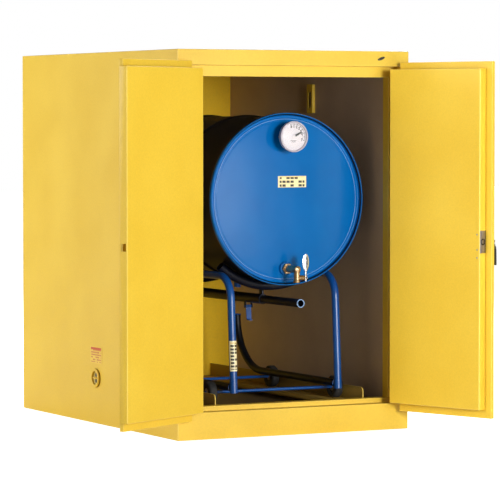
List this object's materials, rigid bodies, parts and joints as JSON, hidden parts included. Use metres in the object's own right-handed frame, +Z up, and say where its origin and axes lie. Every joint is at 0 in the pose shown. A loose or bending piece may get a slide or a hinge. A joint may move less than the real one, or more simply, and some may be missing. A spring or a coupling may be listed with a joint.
{
  "type": "drum safety cabinet",
  "caption": "Double-door yellow steel safety cabinet holding a horizontal blue drum, with gauge and faucet, on a rolling tubular cradle with a telescoping handle.",
  "frame": {"origin": "centre of the cabinet's footprint, on its underside", "axes": "+Z up; -Y out through the doorway, +Y to the back; +X to the right of someone facing the doors"},
  "size_m": [1.3016, 1.6675, 1.27],
  "materials": {
    "yellow_paint": "semi-gloss powder coat",
    "blue_paint": "gloss enamel",
    "dark_blue_paint": "gloss enamel",
    "black_paint": "satin",
    "black_plastic": "moulded",
    "black_rubber": "matte",
    "bare_steel": "brushed zinc plate",
    "chrome": "polished",
    "brass": "as cast and machined",
    "cream_label": "printed film",
    "red_label": "printed film",
    "dial_white": "printed card",
    "clear_lens": "clear"
  },
  "bodies": {
    "cabinet": {"side_panel_left": "yellow_paint", "side_panel_right": "yellow_paint", "back_panel": "yellow_paint", "top_panel": "yellow_paint", "bottom_panel": "yellow_paint", "front_frame": "yellow_paint", "liner_left": "yellow_paint", "liner_right": "yellow_paint", "liner_back": "yellow_paint", "liner_ceiling": "yellow_paint", "sump_pan": "yellow_paint", "track_left": "yellow_paint", "track_right": "yellow_paint", "vent_left": "yellow_paint", "vent_right": "yellow_paint", "vent_baffle": "yellow_paint", "side_label": "red_label", "header_plug": "black_plastic", "hinge_frame_leaf_left": "yellow_paint", "hinge_frame_leaf_right": "yellow_paint", "hinge_pin_left": "bare_steel", "hinge_pin_right": "bare_steel"},
    "left_door": {"door_tray_left": "yellow_paint", "door_pan_left": "yellow_paint", "hinge_door_leaf_left": "yellow_paint"},
    "right_door": {"door_tray_right": "yellow_paint", "door_pan_right": "yellow_paint", "hinge_door_leaf_right": "yellow_paint", "lock_plate": "bare_steel", "escutcheon": "black_paint"},
    "latch_lever": {"latch_lever": "black_paint"},
    "latch_bolt": {"latch_bolt": "bare_steel"},
    "latch_rod_top": {"latch_rod_top": "bare_steel"},
    "latch_rod_bottom": {"latch_rod_bottom": "bare_steel"},
    "truck": {"truck_frame_left": "blue_paint", "truck_frame_right": "blue_paint", "saddle_front": "dark_blue_paint", "saddle_rear": "dark_blue_paint", "handle_sleeve": "dark_blue_paint", "axle_front": "blue_paint", "axle_rear": "blue_paint", "frame_label": "cream_label", "drum_shell": "black_paint", "drum_head_front": "blue_paint", "drum_head_rear": "blue_paint", "drum_label": "cream_label", "gauge_case": "chrome", "gauge_dial": "dial_white", "gauge_lens": "clear_lens", "faucet_body": "brass"},
    "handle": {"handle_tube": "dark_blue_paint"},
    "drop_catch": {"drop_catch": "dark_blue_paint"},
    "faucet_lever": {"faucet_lever": "chrome"},
    "gauge_needle": {"gauge_needle": "black_paint"},
    "wheel_front_left": {"wheel_front_left": "black_rubber"},
    "wheel_front_right": {"wheel_front_right": "black_rubber"},
    "wheel_rear_left": {"wheel_rear_left": "black_rubber"},
    "wheel_rear_right": {"wheel_rear_right": "black_rubber"}
  },
  "joints": [
    {"name": "left_door_hinge", "type": "hinge", "parent": "cabinet", "child": "left_door", "pos_m": [-0.3945, -0.6493, 0.65], "axis": [0, 0, 1], "range_deg": [-24, 151]},
    {"name": "right_door_hinge", "type": "hinge", "parent": "cabinet", "child": "right_door", "pos_m": [0.3945, -0.6493, 0.65], "axis": [0, 0, -1], "range_deg": [-66, 109]},
    {"name": "latch_lever_turn", "type": "hinge", "parent": "right_door", "child": "latch_lever", "pos_m": [0.52182, -1.00154, 0.642], "axis": [0.9455, 0.3256, 0], "range_deg": [0, 90]},
    {"name": "latch_bolt_slide", "type": "slide", "parent": "right_door", "child": "latch_bolt", "axis": [0.3256, -0.9455, 0], "range_m": [0, 0.011]},
    {"name": "latch_rod_top_slide", "type": "slide", "parent": "right_door", "child": "latch_rod_top", "axis": [0, 0, 1], "range_m": [0, 0.016]},
    {"name": "latch_rod_bottom_slide", "type": "slide", "parent": "right_door", "child": "latch_rod_bottom", "axis": [0, 0, -1], "range_m": [0, 0.016]},
    {"name": "truck_roll", "type": "slide", "parent": "cabinet", "child": "truck", "axis": [0, 1, 0], "range_m": [-0.115, 0.18]},
    {"name": "handle_slide", "type": "slide", "parent": "truck", "child": "handle", "axis": [0, 1, 0], "range_m": [-0.25, 0.19]},
    {"name": "drop_catch_swing", "type": "hinge", "parent": "truck", "child": "drop_catch", "pos_m": [0.04, -0.221, 0.404], "axis": [1, 0, 0], "range_deg": [0, 80]},
    {"name": "faucet_lever_turn", "type": "hinge", "parent": "truck", "child": "faucet_lever", "pos_m": [0.07, -0.578, 0.516], "axis": [-1, 0, 0], "range_deg": [0, 45]},
    {"name": "gauge_needle_turn", "type": "hinge", "parent": "truck", "child": "gauge_needle", "pos_m": [0.0415, -0.5475, 0.985], "axis": [0, 1, 0], "range_deg": [-77, 47]},
    {"name": "wheel_front_left_spin", "type": "hinge", "parent": "truck", "child": "wheel_front_left", "pos_m": [-0.2, -0.4, 0.1302], "axis": [-1, 0, 0], "range_deg": [-174, 272]},
    {"name": "wheel_front_right_spin", "type": "hinge", "parent": "truck", "child": "wheel_front_right", "pos_m": [0.28, -0.4, 0.1302], "axis": [-1, 0, 0], "range_deg": [-174, 272]},
    {"name": "wheel_rear_left_spin", "type": "hinge", "parent": "truck", "child": "wheel_rear_left", "pos_m": [-0.2, 0.062, 0.1302], "axis": [-1, 0, 0], "range_deg": [-174, 272]},
    {"name": "wheel_rear_right_spin", "type": "hinge", "parent": "truck", "child": "wheel_rear_right", "pos_m": [0.28, 0.062, 0.1302], "axis": [-1, 0, 0], "range_deg": [-174, 272]}
  ],
  "couplings": [
    {"joint": "latch_bolt_slide", "follows": "latch_lever_turn", "m_per_rad": 0.0069392},
    {"joint": "latch_rod_top_slide", "follows": "latch_lever_turn", "m_per_rad": 0.010122},
    {"joint": "latch_rod_bottom_slide", "follows": "latch_lever_turn", "m_per_rad": 0.010122},
    {"joint": "wheel_front_left_spin", "follows": "truck_roll", "rad_per_m": 26.316},
    {"joint": "wheel_front_right_spin", "follows": "truck_roll", "rad_per_m": 26.316},
    {"joint": "wheel_rear_left_spin", "follows": "truck_roll", "rad_per_m": 26.316},
    {"joint": "wheel_rear_right_spin", "follows": "truck_roll", "rad_per_m": 26.316}
  ]
}
